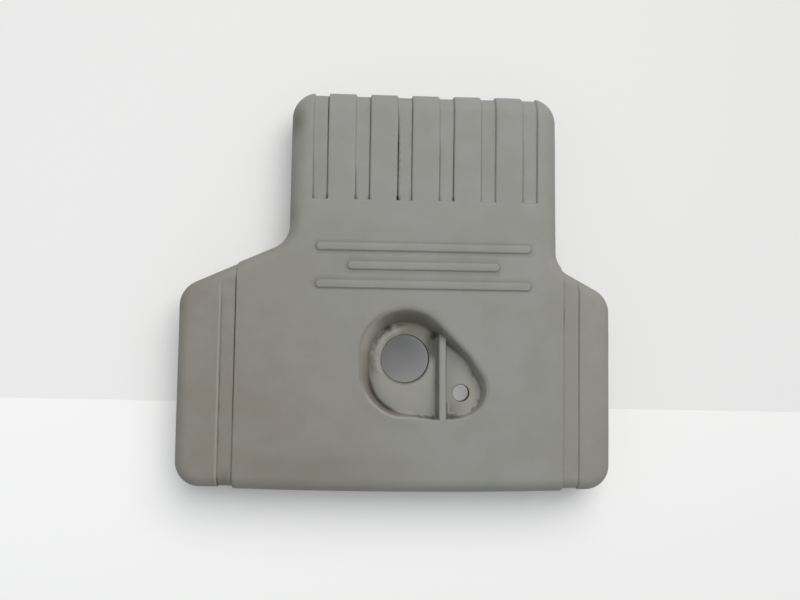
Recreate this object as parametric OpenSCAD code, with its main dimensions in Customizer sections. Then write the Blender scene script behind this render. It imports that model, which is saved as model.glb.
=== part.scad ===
// Engine cover moulded in one piece from integral-skin foam.
// It lies face up: Z is the face's normal, Y runs from the wings to the neck,
// and the origin is under the middle of the cover, on the plane of its rim.
// All sizes are in millimetres.

/* [Outline] */
// Width across the two wings
cover_w = 469; // [440:1:500]
// Length from the bowed lower edge to the neck's top edge
cover_l = 434; // [420:1:460]
// Height of the face above the rim
cover_h = 65; // [56:1:90]
// Width of the neck
neck_w = 292; // [284:1:300]
// Sideways place of the neck's middle line
neck_x = 28.5; // [22:0.5:30]
// Height along Y at which the left shoulder meets the neck
shoulder_left_y = 51; // [40:1:60]
// Slope of the left shoulder, in degrees
shoulder_left_slope = 24; // [16:1:28]
// Height along Y at which the right shoulder meets the neck
shoulder_right_y = 29; // [20:1:40]
// Slope of the right shoulder, in degrees
shoulder_right_slope = 28.5; // [16:0.5:32]
// How far the lower edge bows out between the wings
bow = 2.5; // [2:0.5:10]
// How far the wings' lower edges rise towards their outer corners
foot_rise = 0.5; // [0.5:0.5:8]

/* [Corners and edges] */
// Radius of the neck's two top corners in plan
neck_r = 29; // [27:1:40]
// Radius of the hollow corners between neck and shoulders
fillet_r = 26; // [15:1:30]
// Radius of the wings' shoulder corners
shoulder_r = 30; // [20:1:34]
// Radius of the wings' foot corners
foot_r = 28; // [20:1:40]
// Rounding of the face into the walls
edge_r = 15; // [12:1:18]
// Rounding of the face over the neck's top edge
neck_edge_r = 22; // [16:1:24]
// How far the walls lean out from the face down to the rim
wall_lean = 1.2; // [0:0.1:3]
// Rounding of the rim's outer edge
rim_r = 3; // [1:0.5:4]

/* [Skin] */
// Thickness of the foam in face and walls
wall_t = 12; // [9:0.5:14]
// How far the wings lie below the middle section's skin
wing_step = 1.4; // [0.6:0.1:2]
// How far the grooves and bands lie below the middle section's skin
recess = 2.6; // [2.2:0.1:4]

/* [Grooves and bands] */
// Number of grooves over the neck's top edge
groove_n = 6; // [3:1:6]
// Width of each groove
groove_w = 16; // [8:0.5:22]
// Distance from one groove to the next
groove_pitch = 45.5; // [30:0.1:48]
// How far the grooves' middle lies to the right of the neck's
groove_shift = 0.8; // [0:0.1:3]
// Length of the grooves on the face, from the neck's top edge
groove_l = 121; // [60:1:135]
// Width of the left wing between its side and its band
wing_left_w = 47.5; // [36:0.5:52]
// Width of the right wing between its side and its band
wing_right_w = 36.5; // [34:0.5:40]
// Width of the left band
band_left_w = 16; // [8:0.5:18]
// Width of the right band
band_right_w = 17.5; // [8:0.5:18]

/* [Raised bars] */
// Lengths of the raised bars, from the top one down
bar_lengths = [232, 164, 232]; // [80:1:240]
// Width of each bar
bar_w = 9; // [5:0.5:14]
// Distance from one bar to the next
bar_pitch = 20.2; // [16:0.1:24]
// Height of the bars above the face
bar_h = 1.6; // [0.8:0.1:3]
// Place of the top bar along Y
bar_y = 45; // [36:1:60]

/* [Pocket] */
// Diameter of the opening over the oil filler
filler_d = 52; // [40:1:56]
// Place of the filler opening along X
filler_x = 10.5; // [5:0.5:15]
// Place of the filler opening along Y
filler_y = -74.5; // [-80:0.5:-70]
// Diameter of the small opening beside the rib
dipstick_d = 18; // [12:0.5:22]
// Place of the small opening along X
dipstick_x = 72; // [68:0.5:76]
// Place of the small opening along Y
dipstick_y = -111; // [-114:0.5:-106]
// Depth of the pocket's floor below the face
pocket_h = 20; // [14:1:24]
// Floor left round the filler opening
filler_shelf = 14; // [8:0.5:16]
// How far the floor's filler side is shifted from the opening
filler_shift = [1.5, -1]; // [-3:0.5:3]
// How far the filler side of the floor is drawn out towards the lower edge
floor_stretch = 18.5; // [14:0.5:24]
// Floor left round the small opening
dipstick_shelf = 15.5; // [8:0.5:16]
// How far the floor's small side is shifted across from the opening
dipstick_shift = -3; // [-4:0.5:2]
// How far the floor's slanting side bows out between the two openings
floor_bow = 5.5; // [1:0.5:7]
// How far the mouth's slanting side bows out between the two openings
mouth_bow = 2; // [0.5:0.5:4]
// How far the pocket's lower side bows out between the two openings
lower_bow = 3; // [1:0.5:4]
// Run of the wall at the left of the filler opening
filler_run = 8; // [5:0.5:10]
// Further run of the gentle wall above the filler opening
gentle_run = 8.5; // [6:0.5:12]
// Run of the wall at the right of the small opening
dipstick_run = 5.5; // [4:0.5:8]
// Run of the steep wall along the pocket's lower side
steep_run = 0.5; // [0.5:0.5:2]
// How much the walls ease over into the face, where 1 is a straight slope
wall_ease = 1.6; // [1:0.1:2]
// Rounding of the pocket's mouth into the face
mouth_r = 3; // [1:0.5:4]
// Rounding of the pocket's walls into its floor
floor_r = 2; // [1:0.5:3]

/* [Pocket rib] */
// Width of the rib's top
rib_w = 8; // [6:0.5:10]
// Place of the rib's middle line along X
rib_x = 50.5; // [48:0.5:53]
// Depth of the rib's top below the face, beside the filler opening's upper edge
rib_drop = 11; // [6:0.5:12]
// How much wider the rib is at its foot on the filler's side
rib_lean_filler = 1.8; // [0:0.1:2.5]
// How much wider the rib is at its foot on the small opening's side
rib_lean_dipstick = 0.8; // [0:0.1:1.5]
// Rounding of the rib's top on the filler's side
rib_r_filler = 2.5; // [1:0.5:3]
// Rounding of the rib's top on the small opening's side
rib_r_dipstick = 1.3; // [0.5:0.1:3]

/* [Stud sockets] */
// Distance between the sockets along X
socket_dx = 220; // [200:1:230]
// Distance between the sockets along Y
socket_dy = 290; // [270:1:300]
// Diameter of the hole that snaps over a ball stud
socket_d = 10; // [6:0.5:14]
// Depth of that hole
socket_h = 20; // [10:1:24]
// Diameter of the boss that holds it
boss_d = 30; // [22:1:34]
// Height of the bosses' open ends above the rim
boss_z = 22; // [8:1:26]

/* [Hidden] */

skin_colour = "#8b8a84";
$fn = 64;
// Overlap that keeps cutting faces off the faces they cut
eps = 0.5;

// Least rounding between walls and face inside the hollow
inner_r = 4;
// Edge of the pocket's shell under the face, its taper towards the face,
// and the share of the pocket's slope that its walls follow
shell_edge = 3;
shell_taper = 2;
shell_share = 0.4;
// Where along the slanting side and the lower side the circle lies that bows each out
slant_share = 0.35;
lower_share = 0.6;

// Segments in a corner's arc, in half of the bow, in an edge's rounding and in a pocket's lobe
foot_segs = 10;
shoulder_segs = 7;
bow_segs = 7;
edge_segs = 7;
rim_segs = 3;
inner_segs = 3;
lobe_segs = 9;
wall_segs = 5;
lip_segs = 4;

half_w = cover_w / 2;
top_y = cover_l / 2;
wing_y = -cover_l / 2 + bow;
neck_left = neck_x - neck_w / 2;
neck_right = neck_x + neck_w / 2;

// Edges of the two bands, from left to right
band_left = [-half_w + wing_left_w, -half_w + wing_left_w + band_left_w];
band_right = [half_w - wing_right_w - band_right_w, half_w - wing_right_w];

// The bow runs from the middle of one band to the middle of the other
bow_left = (band_left[0] + band_left[1]) / 2;
bow_right = (band_right[0] + band_right[1]) / 2;
bow_mid = (bow_left + bow_right) / 2;

// Sharp corners of the outline, anticlockwise from the right foot:
// place, plan radius, rounding of the face's edge there, segments in the arc
CORNERS = [
    [[half_w, wing_y + foot_rise], foot_r, edge_r, foot_segs],
    [[half_w, shoulder_right_y - (half_w - neck_right) * tan(shoulder_right_slope)],
        shoulder_r, edge_r, shoulder_segs],
    [[neck_right, shoulder_right_y], fillet_r, edge_r, shoulder_segs],
    [[neck_right, top_y], neck_r, neck_edge_r, foot_segs],
    [[neck_left, top_y], neck_r, neck_edge_r, foot_segs],
    [[neck_left, shoulder_left_y], fillet_r, edge_r, shoulder_segs],
    [[-half_w, shoulder_left_y - (neck_left + half_w) * tan(shoulder_left_slope)],
        shoulder_r, edge_r, shoulder_segs],
    [[-half_w, wing_y + foot_rise], foot_r, edge_r, foot_segs],
];
LAST = len(CORNERS) - 1;

function unit(v) = v / norm(v);
function left_of(v) = [-v.y, v.x];
function side_of(v, w) = v.x * w.y - v.y * w.x;

// Points of a rounded corner b between a and c, on an outline moved in by inset.
// The radius is negative where the outline turns right, so that one formula serves both.
function corner_points(a, b, c, r, inset, segs) =
    let (
        u = unit(b - a),
        v = unit(c - b),
        turn = atan2(side_of(u, v), u * v),
        heading = atan2(u.y, u.x),
        vertex = b + inset * (left_of(u) + left_of(v)) / (1 + u * v),
        radius = turn > 0 ? r - inset : -(r + inset),
        centre = vertex - u * radius * tan(turn / 2) + left_of(u) * radius
    )
    [for (k = [0 : segs])
        let (h = heading + turn * k / segs) centre + radius * [sin(h), -cos(h)]];

// Place before the first corner or after the last one, where a wing's lower edge meets the bow
function corner_place(i) =
    i < 0 ? [bow_right, wing_y] : i > LAST ? [bow_left, wing_y] : CORNERS[i][0];

// Point of the bowed lower edge, from t = -1 at its left end to t = 1 at its right end
function bow_point(t, inset) =
    [bow_mid + t * (bow_right - bow_left) / 2, wing_y + inset - bow * (1 - t * t)];

// One ring of the skin at a level of the edge's rounding: the whole skin is moved in
// by depth, and the ring by in * r and down by drop * r at each point, where r is the
// edge's radius there. Anticlockwise from the middle of the bow.
function skin_ring(depth, in, drop, top) =
    let (bow_edge = edge_r - depth)
    concat(
        [for (k = [0 : bow_segs]) let (p = bow_point(k / bow_segs, depth + in * bow_edge))
            [p.x, p.y, top - drop * bow_edge]],
        [for (i = [0 : LAST])
            let (r = CORNERS[i][2] - depth)
            for (p = corner_points(corner_place(i - 1), CORNERS[i][0], corner_place(i + 1),
                    CORNERS[i][1], depth + in * r, CORNERS[i][3]))
                [p.x, p.y, top - drop * r]],
        [for (k = [-bow_segs : -1]) let (p = bow_point(k / bow_segs, depth + in * bow_edge))
            [p.x, p.y, top - drop * bow_edge]]
    );

// A ring at one height, moved in by inset from the outline
function flat_ring(inset, z) = skin_ring(inset, 0, 0, z);

// Joins rings of equal length into a closed solid. The ends are closed by rungs from the
// outline's right side to its left, because an outline with hollow corners has no middle.
module rung_loft(rings) {
    n = len(rings[0]);
    last = len(rings) - 1;
    walls = [for (j = [0 : last - 1], i = [0 : n - 1])
        [j * n + i, j * n + (i + 1) % n, (j + 1) * n + (i + 1) % n, (j + 1) * n + i]];
    half = floor((n - 1) / 2);
    rungs = [for (i = [0 : half - 1])
        i == 0 ? [0, 1, n - 1] : [i, i + 1, n - i - 1, n - i]];
    caps = concat(
        [for (f = rungs) [for (k = [len(f) - 1 : -1 : 0]) f[k]]],
        [for (f = rungs) [for (k = f) last * n + k]]
    );
    // Faces run clockwise seen from outside
    polyhedron(
        points = [for (ring = rings) for (p = ring) p],
        faces = [for (f = concat(walls, caps)) [for (k = [len(f) - 1 : -1 : 0]) f[k]]],
        convexity = 8
    );
}

// The whole cover as a solid block, with its skin moved in by depth
module skin(depth) {
    rim = [for (k = [0 : rim_segs])
        let (a = 90 * k / rim_segs)
        flat_ring(depth - wall_lean + rim_r * (1 - sin(a)), rim_r * (1 - cos(a)))];
    edge = [for (k = [0 : edge_segs])
        let (a = 90 * k / edge_segs)
        skin_ring(depth, 1 - cos(a), 1 - sin(a), cover_h - depth)];
    rung_loft(concat(rim, edge));
}

// The hollow under the cover
module hollow() {
    inner_edge = max(edge_r - wall_t, inner_r);
    edge = [for (k = [0 : inner_segs])
        let (a = 90 * k / inner_segs)
        flat_ring(wall_t + inner_edge * (1 - cos(a)), cover_h - wall_t - inner_edge * (1 - sin(a)))];
    rung_loft(concat([flat_ring(wall_t - wall_lean, -eps)], edge));
}

// A box over the whole height and length between two places along X
module slab(x0, x1, y0 = -cover_l) {
    translate([x0, y0, -eps])
        cube([x1 - x0, cover_l - y0, cover_h + 2 * eps]);
}

// Slabs where the grooves lie
module grooves() {
    for (i = [0 : groove_n - 1]) {
        x = neck_x + groove_shift + (i - (groove_n - 1) / 2) * groove_pitch;
        slab(x - groove_w / 2, x + groove_w / 2, top_y - groove_l);
    }
}

// Three skins inside each other: the middle section stands proud of the wings,
// and the deepest skin shows in the grooves and bands
module stepped_skin() {
    difference() {
        skin(0);
        slab(-cover_w, band_left[1]);
        slab(band_right[0], cover_w);
        grooves();
    }
    difference() {
        skin(wing_step);
        slab(band_left[0], band_right[1]);
    }
    skin(recess);
}

// Plain raised bars below the grooves
module bars() {
    for (i = [0 : len(bar_lengths) - 1]) {
        reach = (bar_lengths[i] - bar_w) / 2;
        translate([neck_x, bar_y - i * bar_pitch, cover_h - recess])
            linear_extrude(recess + bar_h)
                union() {
                    square([2 * reach, bar_w], center = true);
                    for (s = [-1, 1])
                        translate([s * reach, 0]) circle(d = bar_w);
                }
    }
}

// Outline of a belt drawn round circles [x, y, r] that are listed anticlockwise
function belt(circles, segs) =
    let (
        n = len(circles),
        // Direction of the tangent's outward normal from each circle to the next
        normals = [for (i = [0 : n - 1])
            let (
                a = circles[i],
                b = circles[(i + 1) % n],
                d = [b.x - a.x, b.y - a.y]
            )
            atan2(d.y, d.x) - acos((a.z - b.z) / norm(d))]
    )
    [for (i = [0 : n - 1])
        let (
            from = normals[(i + n - 1) % n],
            sweep = ((normals[i] - from) % 360 + 360) % 360
        )
        for (k = [0 : segs])
            let (h = from + sweep * k / segs)
            [circles[i].x + circles[i].z * cos(h), circles[i].y + circles[i].z * sin(h)]];

function grown(circles, by) = [for (c = circles) [c.x, c.y, c.z + by]];
function mix(a, b, t) = a + (b - a) * t;

filler_floor_r = filler_d / 2 + filler_shelf;
dipstick_floor_r = dipstick_d / 2 + dipstick_shelf;

// Circles at the floor and at the mouth, [x, y, r]
floor_small = [dipstick_x + dipstick_shift, dipstick_y, dipstick_floor_r];
floor_upper = [filler_x + filler_shift.x, filler_y + filler_shift.y, filler_floor_r];
floor_lower = floor_upper - [0, floor_stretch, 0];
mouth_small = floor_small + [0, dipstick_run - steep_run, dipstick_run];
mouth_upper = floor_upper + [0, gentle_run, filler_run];
mouth_lower = floor_lower + [0, filler_run - steep_run, filler_run];

// A circle between two others, larger by bow than would touch their common tangent
function between(a, b, share, bow) = mix(a, b, share) + [0, 0, bow];

// The pocket's circles, anticlockwise, with one that bows out the slanting side
// and one that bows out the lower side
function lobes(small, upper, lower, bow) = [
    small,
    between(small, upper, slant_share, bow),
    upper,
    lower,
    between(lower, small, lower_share, lower_bow),
];

FLOOR = lobes(floor_small, floor_upper, floor_lower, floor_bow);
MOUTH = lobes(mouth_small, mouth_upper, mouth_lower, mouth_bow);

// Lofts the pocket's shape between levels [share of the way to the mouth, growth, z]
module pocket_loft(levels) {
    rings = [for (l = levels)
        let (line = belt(grown(mix(FLOOR, MOUTH, l[0]), l[1]), lobe_segs))
        [for (p = line) [p.x, p.y, l[2]]]];
    n = len(rings[0]);
    last = len(rings) - 1;
    polyhedron(
        points = [for (ring = rings) for (p = ring) p],
        faces = concat(
            [[for (i = [0 : n - 1]) i]],
            [for (j = [0 : last - 1], i = [0 : n - 1])
                [(j + 1) * n + i, (j + 1) * n + (i + 1) % n, j * n + (i + 1) % n, j * n + i]],
            [[for (i = [n - 1 : -1 : 0]) last * n + i]]
        ),
        convexity = 4
    );
}

floor_z = cover_h - pocket_h;

// Share of the way to the mouth that the pocket's wall has come at a height over the floor
function wall_share(h) = 1 - pow(1 - h / pocket_h, 1 / wall_ease);

// The pocket's own hollow, less the rib that crosses it
module pocket() {
    wall_h = pocket_h - floor_r - mouth_r;
    foot = [for (k = [0 : lip_segs])
        let (a = 90 * k / lip_segs, h = floor_r * (1 - cos(a)))
        [wall_share(h), -floor_r * (1 - sin(a)), floor_z + h]];
    wall = [for (k = [1 : wall_segs - 1])
        let (h = floor_r + wall_h * k / wall_segs)
        [wall_share(h), 0, floor_z + h]];
    lip = [for (k = [0 : lip_segs])
        let (a = 90 * k / lip_segs, h = pocket_h - mouth_r * (1 - sin(a)))
        [wall_share(h), mouth_r * (1 - cos(a)), floor_z + h]];
    difference() {
        pocket_loft(concat(foot, wall, lip, [[1, mouth_r, cover_h + eps]]));
        rib();
    }
}

// Half of the rib's section, h high, with its top edge rounded
module rib_half(lean, r, h) {
    polygon(concat(
        [[0, h], [0, -eps], [rib_w / 2 + lean, -eps]],
        [for (k = [0 : lip_segs])
            let (a = 90 * k / lip_segs)
            [rib_w / 2 - r * (1 - cos(a)), h - r * (1 - sin(a))]]
    ));
}

// The rib between the two openings. Its top rises from the filler opening's upper edge
// to the face at the pocket's lower side.
module rib() {
    high_y = filler_y + filler_d / 2;
    low_y = dipstick_y - dipstick_floor_r - lower_bow;
    hull()
        for (y = [0, -cover_l / 2])
            let (h = pocket_h - rib_drop * (y - low_y) / (high_y - low_y))
            translate([rib_x, y, floor_z])
                rotate([90, 0, 0])
                    linear_extrude(eps)
                        union() {
                            rib_half(rib_lean_dipstick, rib_r_dipstick, h);
                            mirror([1, 0]) rib_half(rib_lean_filler, rib_r_filler, h);
                        }
}

// The pocket's walls and floor, as they stand out under the face
module pocket_shell() {
    pocket_loft([
        [0, wall_t - shell_edge, floor_z - wall_t],
        [0, wall_t, floor_z - wall_t + shell_edge],
        [shell_share, wall_t - shell_taper, cover_h - wall_t + eps],
    ]);
}

module at_sockets() {
    for (sx = [-1, 1], sy = [-1, 1])
        translate([neck_x + sx * socket_dx / 2, sy * socket_dy / 2, 0])
            children();
}

module engine_cover() {
    color(skin_colour)
        difference() {
            union() {
                difference() {
                    stepped_skin();
                    hollow();
                }
                bars();
                pocket_shell();
                at_sockets()
                    translate([0, 0, boss_z])
                        cylinder(d = boss_d, h = cover_h - wall_t - boss_z + eps);
            }
            pocket();
            translate([filler_x, filler_y, floor_z - wall_t - eps])
                cylinder(d = filler_d, h = wall_t + 2 * eps);
            translate([dipstick_x, dipstick_y, floor_z - wall_t - eps])
                cylinder(d = dipstick_d, h = wall_t + 2 * eps);
            at_sockets()
                translate([0, 0, boss_z - eps])
                    cylinder(d = socket_d, h = socket_h + eps);
        }
}

engine_cover();
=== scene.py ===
# Engine cover moulded in one piece from integral-skin polyurethane foam.
# The mesh is made in millimetres, in the CAD part's own frame, and scaled to metres
# in its last step. Z is the face's normal, Y runs from the wings to the neck.
from math import acos, atan2, cos, degrees, hypot, pi, radians, sin, tan

import bmesh
import bpy
import numpy as np
from mathutils import Matrix, Vector, noise
from mathutils.geometry import delaunay_2d_cdt


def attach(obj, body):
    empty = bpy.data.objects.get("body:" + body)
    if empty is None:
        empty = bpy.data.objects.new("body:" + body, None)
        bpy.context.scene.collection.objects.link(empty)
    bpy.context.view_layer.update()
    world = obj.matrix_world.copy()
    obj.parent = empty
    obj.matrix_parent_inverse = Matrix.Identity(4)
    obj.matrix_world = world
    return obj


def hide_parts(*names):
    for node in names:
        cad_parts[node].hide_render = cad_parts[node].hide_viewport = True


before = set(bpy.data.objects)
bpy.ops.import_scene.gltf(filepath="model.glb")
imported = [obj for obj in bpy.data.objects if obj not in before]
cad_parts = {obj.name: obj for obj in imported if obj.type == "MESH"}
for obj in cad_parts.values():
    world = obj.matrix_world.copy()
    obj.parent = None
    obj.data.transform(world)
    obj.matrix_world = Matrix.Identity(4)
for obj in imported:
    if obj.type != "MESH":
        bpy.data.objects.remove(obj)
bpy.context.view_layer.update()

MM = 0.001

# Outline of the cover
COVER_W = 469.0
COVER_L = 434.0
COVER_H = 65.0
NECK_W = 292.0
NECK_X = 28.5
SHOULDER_LEFT_Y = 51.0
SHOULDER_LEFT_SLOPE = radians(24)
SHOULDER_RIGHT_Y = 29.0
SHOULDER_RIGHT_SLOPE = radians(28.5)
BOW = 2.5
FOOT_RISE = 0.5

# Corners and edges
NECK_R = 29.0
FILLET_R = 26.0
SHOULDER_R = 30.0
FOOT_R = 28.0
EDGE_R = 15.0
NECK_EDGE_R = 22.0
WALL_LEAN = 1.2
RIM_R = 3.0

# Foam thickness and the levels of the skin
WALL_T = 12.0
WING_STEP = 1.4
RECESS = 2.6
INNER_R = 4.0

# Grooves over the neck's top edge, and the bands beside the wings
GROOVE_N = 6
GROOVE_W = 16.0
GROOVE_PITCH = 45.5
GROOVE_SHIFT = 0.8
GROOVE_L = 121.0
BAND_LEFT = (-187.0, -171.0)
BAND_RIGHT = (180.5, 198.0)

# Plain raised bars below the grooves
BAR_LENGTHS = (232.0, 164.0, 232.0)
BAR_W = 9.0
BAR_PITCH = 20.2
BAR_H = 1.6
BAR_Y = 45.0

# Pocket with its two openings
FILLER = Vector((10.5, -74.5))
FILLER_R = 26.0
DIPSTICK = Vector((72.0, -111.0))
DIPSTICK_R = 9.0
POCKET_H = 20.0
FILLER_SHELF = 14.0
FILLER_SHIFT = Vector((1.5, -1.0))
FLOOR_STRETCH = 18.5
DIPSTICK_SHELF = 15.5
DIPSTICK_SHIFT = -3.0
FLOOR_BOW = 5.5
MOUTH_BOW = 2.0
LOWER_BOW = 3.0
SLANT_SHARE = 0.35
LOWER_SHARE = 0.6
FILLER_RUN = 8.0
GENTLE_RUN = 8.5
DIPSTICK_RUN = 5.5
STEEP_RUN = 0.5
WALL_EASE = 1.6
MOUTH_R = 3.0
FLOOR_R = 2.0
SHELL_EDGE = 3.0
SHELL_TAPER = 2.0
SHELL_SHARE = 0.4

# Rib between the openings
RIB_W = 8.0
RIB_X = 50.5
RIB_DROP = 11.0
RIB_LEAN_FILLER = 1.8
RIB_LEAN_DIPSTICK = 0.8
RIB_R_FILLER = 2.5
RIB_R_DIPSTICK = 1.3
# Rounding of the rib's sides into the floor: its height and its run
RIB_FOOT_H = 0.6
RIB_FOOT_RUN = 1.2

# Sockets for the ball studs
SOCKET_DX = 220.0
SOCKET_DY = 290.0
SOCKET_R = 5.0
SOCKET_H = 20.0
BOSS_R = 15.0
BOSS_Z = 22.0

# Places that follow from the sizes
HALF_W = COVER_W / 2
TOP_Y = COVER_L / 2
WING_Y = -COVER_L / 2 + BOW
NECK_LEFT = NECK_X - NECK_W / 2
NECK_RIGHT = NECK_X + NECK_W / 2
BOW_LEFT = sum(BAND_LEFT) / 2
BOW_RIGHT = sum(BAND_RIGHT) / 2
FLOOR_Z = COVER_H - POCKET_H
SHELL_Z = FLOOR_Z - WALL_T
ROOF_Z = COVER_H - WALL_T
GROOVE_END = TOP_Y - GROOVE_L
GROOVE_MIDDLE = NECK_X + GROOVE_SHIFT
GROOVES = [GROOVE_MIDDLE + (i - (GROOVE_N - 1) / 2) * GROOVE_PITCH for i in range(GROOVE_N)]

# Which part of the moulding a face belongs to
SKIN = 1
POCKET = 2
UNDERSIDE = 3

# Axes that the mesh is cut across
ACROSS = 0
ALONG = 1

# What each vertex tells the material about the foam there: its soil, grime, stain and scuffs, and where
# shade and light are painted on it
MARKS = ("soil_and_shade", "grime_and_shade", "stain", "scuff_and_light")

# The level mesh: height of an even triangle against its side, and how close its own points
# come to a ring or a ridge, against their spacing
ROW_SHARE = 0.866
RING_SHARE = 0.55
RIDGE_SHARE = 0.4


# Outline

# Sharp corners of the outline, anticlockwise from the right foot:
# place, plan radius, rounding of the face's edge there, segments in the arc
CORNERS = [
    (Vector((HALF_W, WING_Y + FOOT_RISE)), FOOT_R, EDGE_R, 16),
    (
        Vector((HALF_W, SHOULDER_RIGHT_Y - (HALF_W - NECK_RIGHT) * tan(SHOULDER_RIGHT_SLOPE))),
        SHOULDER_R,
        EDGE_R,
        12,
    ),
    (Vector((NECK_RIGHT, SHOULDER_RIGHT_Y)), FILLET_R, EDGE_R, 12),
    (Vector((NECK_RIGHT, TOP_Y)), NECK_R, NECK_EDGE_R, 16),
    (Vector((NECK_LEFT, TOP_Y)), NECK_R, NECK_EDGE_R, 16),
    (Vector((NECK_LEFT, SHOULDER_LEFT_Y)), FILLET_R, EDGE_R, 12),
    (
        Vector((-HALF_W, SHOULDER_LEFT_Y - (NECK_LEFT + HALF_W) * tan(SHOULDER_LEFT_SLOPE))),
        SHOULDER_R,
        EDGE_R,
        12,
    ),
    (Vector((-HALF_W, WING_Y + FOOT_RISE)), FOOT_R, EDGE_R, 16),
]
BOW_SEGS = 30


def corner_points(before, corner, after, radius, inset, segs):
    """Points of a rounded corner on an outline that is moved in by inset."""
    into = (corner - before).normalized()
    away = (after - corner).normalized()
    turn = atan2(into.x * away.y - into.y * away.x, into.dot(away))
    heading = atan2(into.y, into.x)
    left_in = Vector((-into.y, into.x))
    left_away = Vector((-away.y, away.x))
    vertex = corner + inset * (left_in + left_away) / (1 + into.dot(away))
    bend = radius - inset if turn > 0 else -(radius + inset)
    centre = vertex - into * bend * tan(turn / 2) + left_in * bend
    turns = [heading + turn * k / segs for k in range(segs + 1)]
    return [centre + bend * Vector((sin(h), -cos(h))) for h in turns]


def bow_point(t, inset):
    """Point of the bowed lower edge, t from -1 at its left end to 1 at its right end."""
    middle = (BOW_LEFT + BOW_RIGHT) / 2
    reach = (BOW_RIGHT - BOW_LEFT) / 2
    return Vector((middle + t * reach, WING_Y + inset - BOW * (1 - t * t)))


def outline_ring(depth, inward, drop, top):
    """One ring of the skin, moved in by depth, at a level of the edge's rounding."""
    places = [c[0] for c in CORNERS]
    places = [Vector((BOW_RIGHT, WING_Y))] + places + [Vector((BOW_LEFT, WING_Y))]
    ring = []
    edge = EDGE_R - depth
    for k in range(BOW_SEGS + 1):
        p = bow_point(k / BOW_SEGS, depth + inward * edge)
        ring.append(Vector((p.x, p.y, top - drop * edge)))
    for i, (place, radius, edge_r, segs) in enumerate(CORNERS):
        r = edge_r - depth
        line = corner_points(places[i], place, places[i + 2], radius, depth + inward * r, segs)
        ring += [Vector((p.x, p.y, top - drop * r)) for p in line]
    for k in range(-BOW_SEGS, 0):
        p = bow_point(k / BOW_SEGS, depth + inward * edge)
        ring.append(Vector((p.x, p.y, top - drop * edge)))
    return ring


def steps_along(ring, spacing):
    """How many equal steps each side of a ring is split into."""
    ends = ring[1:] + ring[:1]
    return [max(1, round((b - a).length / spacing)) for a, b in zip(ring, ends)]


def split_sides(ring, steps):
    """The ring with each side split into its number of steps."""
    ends = ring[1:] + ring[:1]
    return [a.lerp(b, k / n) for a, b, n in zip(ring, ends, steps) for k in range(n)]


def belt_ring(circles, segs, z):
    """Outline of a belt round circles (x, y, r), listed anticlockwise."""
    normals = []
    for a, b in zip(circles, circles[1:] + circles[:1]):
        dx, dy = b[0] - a[0], b[1] - a[1]
        normals.append(atan2(dy, dx) - acos((a[2] - b[2]) / hypot(dx, dy)))
    ring = []
    for i, (x, y, r) in enumerate(circles):
        start = normals[i - 1]
        sweep = (normals[i] - start) % (2 * pi)
        for k in range(segs + 1):
            turn = start + sweep * k / segs
            ring.append(Vector((x + r * cos(turn), y + r * sin(turn), z)))
    return ring


def circle_ring(centre, radius, z, segs):
    turns = [2 * pi * k / segs for k in range(segs)]
    return [Vector((centre.x + radius * cos(t), centre.y + radius * sin(t), z)) for t in turns]


# Pocket

FILLER_FLOOR_R = FILLER_R + FILLER_SHELF
DIPSTICK_FLOOR_R = DIPSTICK_R + DIPSTICK_SHELF

# Circles at the pocket's floor and at its mouth: x, y, radius
FLOOR_SMALL = Vector((DIPSTICK.x + DIPSTICK_SHIFT, DIPSTICK.y, DIPSTICK_FLOOR_R))
FLOOR_UPPER = Vector((FILLER.x + FILLER_SHIFT.x, FILLER.y + FILLER_SHIFT.y, FILLER_FLOOR_R))
FLOOR_LOWER = FLOOR_UPPER - Vector((0, FLOOR_STRETCH, 0))
MOUTH_SMALL = FLOOR_SMALL + Vector((0, DIPSTICK_RUN - STEEP_RUN, DIPSTICK_RUN))
MOUTH_UPPER = FLOOR_UPPER + Vector((0, GENTLE_RUN, FILLER_RUN))
MOUTH_LOWER = FLOOR_LOWER + Vector((0, FILLER_RUN - STEEP_RUN, FILLER_RUN))


def lobes(small, upper, lower, bow):
    """The pocket's circles, with one that bows out the slanting side and one for the lower side."""
    return [
        small,
        small.lerp(upper, SLANT_SHARE) + Vector((0, 0, bow)),
        upper,
        lower,
        lower.lerp(small, LOWER_SHARE) + Vector((0, 0, LOWER_BOW)),
    ]


POCKET_FLOOR = lobes(FLOOR_SMALL, FLOOR_UPPER, FLOOR_LOWER, FLOOR_BOW)
POCKET_MOUTH = lobes(MOUTH_SMALL, MOUTH_UPPER, MOUTH_LOWER, MOUTH_BOW)


def pocket_ring(share, growth, z):
    """The pocket's outline at a share of the way from its floor to its mouth."""
    wider = Vector((0, 0, growth))
    circles = [a.lerp(b, share) + wider for a, b in zip(POCKET_FLOOR, POCKET_MOUTH)]
    return belt_ring(circles, 20, z)


def wall_share(z):
    """How far towards the mouth the pocket's wall is at a height; it eases into the face."""
    return 1 - max(0.0, 1 - (z - FLOOR_Z) / POCKET_H) ** (1 / WALL_EASE)


RIB_HIGH_Y = FILLER.y + FILLER_R
RIB_LOW_Y = DIPSTICK.y - DIPSTICK_FLOOR_R - LOWER_BOW


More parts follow.
